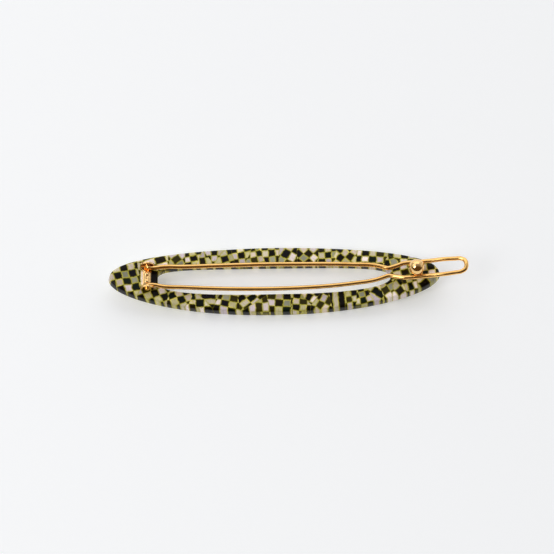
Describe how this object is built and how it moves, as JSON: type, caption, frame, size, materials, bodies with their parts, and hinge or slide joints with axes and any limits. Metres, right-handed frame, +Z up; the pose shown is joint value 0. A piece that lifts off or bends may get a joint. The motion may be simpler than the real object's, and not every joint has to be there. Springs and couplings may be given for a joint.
{
  "type": "barrette",
  "caption": "Slim oval hair barrette of checked acetate with a long slot and a gold wire clip, hinged at one end, that snaps under a ball-headed stud at the other.",
  "frame": {"origin": "on the surface that the barrette rests on, under the middle of the whole outline, clip loop included", "axes": "+X along the barrette, from the hinge to the catch; +Y across it; +Z up, out of the back face that carries the clip"},
  "size_m": [0.0908, 0.0178, 0.0114],
  "materials": {
    "acetate": "polished black and pearl check",
    "gold_wire": "bright gold plate",
    "gold_fitting": "bright gold plate"
  },
  "bodies": {
    "barrette": {"acetate_body": "acetate", "hinge_bracket": "gold_fitting", "hinge_rivet_far": "gold_fitting", "hinge_rivet_near": "gold_fitting", "ball_stud": "gold_fitting"},
    "clip": {"wire_clip": "gold_wire"}
  },
  "joints": [
    {"name": "clip_hinge", "type": "hinge", "parent": "barrette", "child": "clip", "pos_m": [-0.03553, 0, 0.0062], "axis": [0, -1, 0], "range_deg": [0, 120]}
  ]
}
